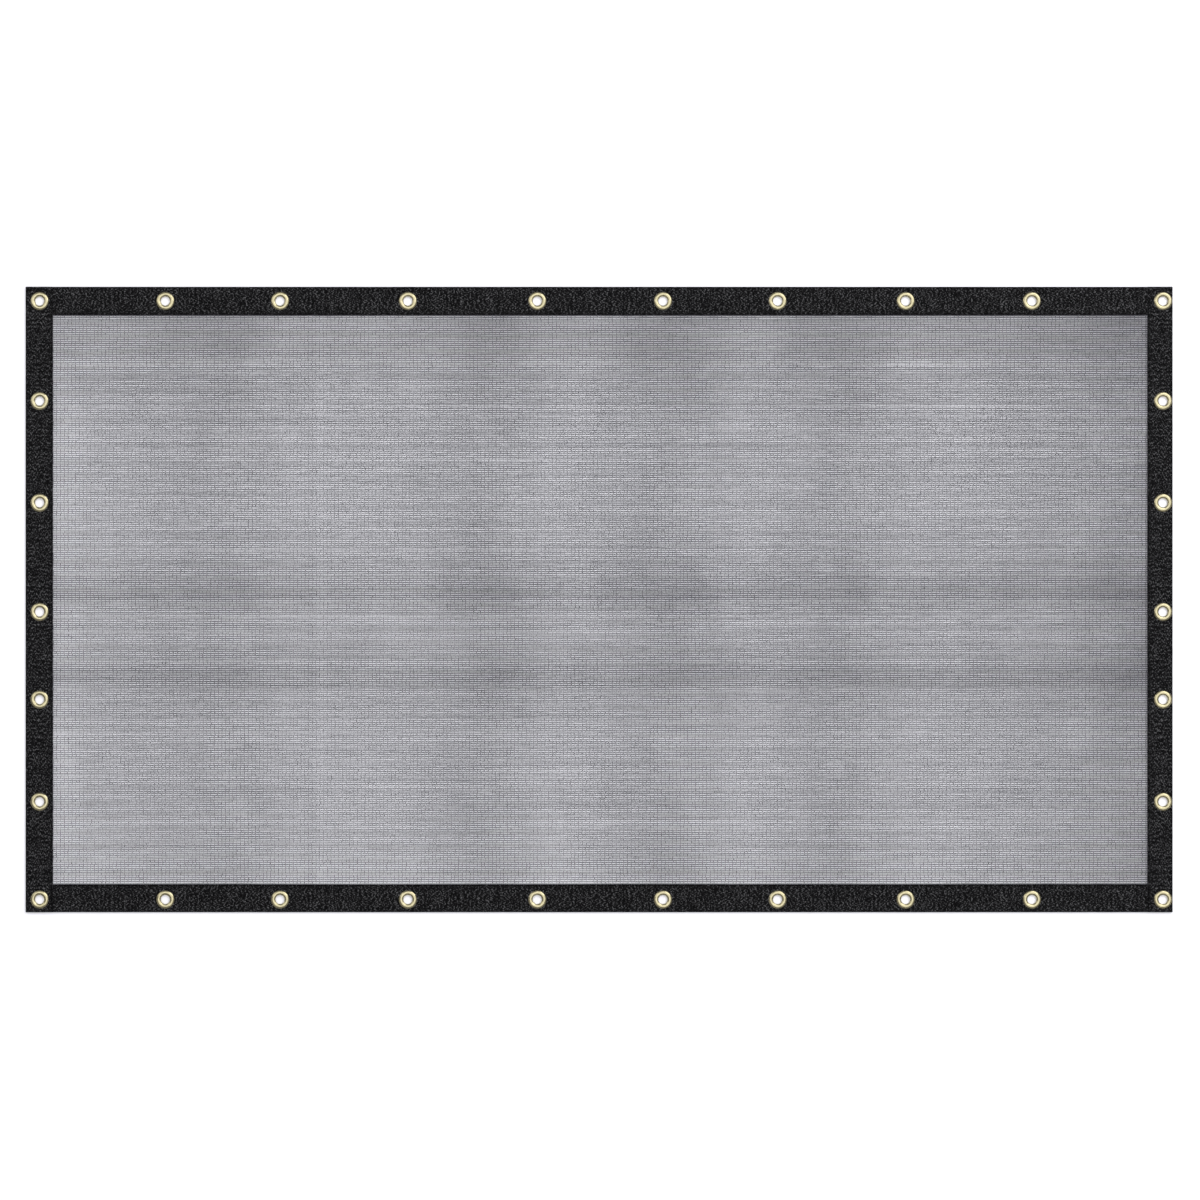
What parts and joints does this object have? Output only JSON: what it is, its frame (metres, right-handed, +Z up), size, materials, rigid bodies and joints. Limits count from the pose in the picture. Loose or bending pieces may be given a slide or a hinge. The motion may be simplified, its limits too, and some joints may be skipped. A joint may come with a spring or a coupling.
{
  "type": "shade cloth",
  "caption": "Rectangular knitted shade net with a folded tape binding along its edges and brass eyelets set through the tape, lying flat.",
  "frame": {"origin": "on the surface that the cloth lies on, under the middle of its outline", "axes": "+X along the cloth's long side, +Y across it, +Z up out of its shown face"},
  "size_m": [1.834, 1, 0.0063],
  "materials": {
    "net_yarn": "knitted black polyethylene yarn, satin",
    "black_tape": "knitted black tape, matt",
    "brass": "bright pressed brass"
  },
  "bodies": {
    "root": {"net_panel": "net_yarn", "binding_top": "black_tape", "binding_bottom": "black_tape", "binding_left": "black_tape", "binding_right": "black_tape", "eyelet_top_01": "brass", "eyelet_top_02": "brass", "eyelet_top_03": "brass", "eyelet_top_04": "brass", "eyelet_top_05": "brass", "eyelet_top_06": "brass", "eyelet_top_07": "brass", "eyelet_top_08": "brass", "eyelet_top_09": "brass", "eyelet_top_10": "brass", "eyelet_bottom_01": "brass", "eyelet_bottom_02": "brass", "eyelet_bottom_03": "brass", "eyelet_bottom_04": "brass", "eyelet_bottom_05": "brass", "eyelet_bottom_06": "brass", "eyelet_bottom_07": "brass", "eyelet_bottom_08": "brass", "eyelet_bottom_09": "brass", "eyelet_bottom_10": "brass", "eyelet_left_01": "brass", "eyelet_left_02": "brass", "eyelet_left_03": "brass", "eyelet_left_04": "brass", "eyelet_left_05": "brass", "eyelet_right_01": "brass", "eyelet_right_02": "brass", "eyelet_right_03": "brass", "eyelet_right_04": "brass", "eyelet_right_05": "brass"}
  },
  "joints": []
}
